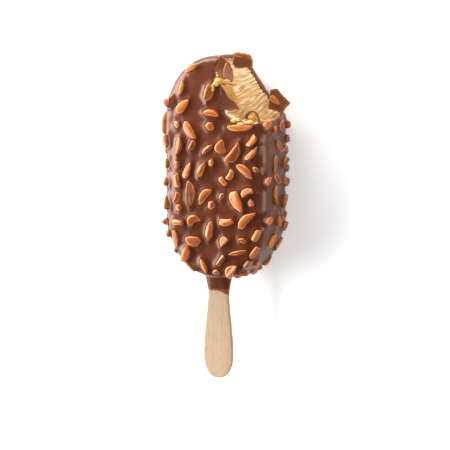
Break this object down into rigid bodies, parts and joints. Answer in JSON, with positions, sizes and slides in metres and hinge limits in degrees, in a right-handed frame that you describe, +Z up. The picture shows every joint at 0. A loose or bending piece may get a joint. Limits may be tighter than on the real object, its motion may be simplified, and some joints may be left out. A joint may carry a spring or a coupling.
{
  "type": "ice cream bar",
  "caption": "Ice cream bar on a flat wooden stick, coated in milk chocolate with chopped almonds, its top corner bitten off to show the ice cream.",
  "frame": {"origin": "under the middle of the whole bar and stick, at the height that it rests on", "axes": "+Y along the bar from the stick's end to the bitten tip, +Z up out of the shown face, +X to the right seen with that face up and the tip away"},
  "size_m": [0.0554, 0.1452, 0.0294],
  "materials": {
    "chocolate": "satin",
    "ice_cream": "matte",
    "stick_wood": "matte"
  },
  "bodies": {
    "root": {"coating": "chocolate", "ice_cream": "ice_cream", "stick": "stick_wood", "left_shard": "chocolate", "top_shard": "chocolate", "lower_shard": "chocolate", "right_shard": "chocolate", "curl": "chocolate"}
  },
  "joints": []
}
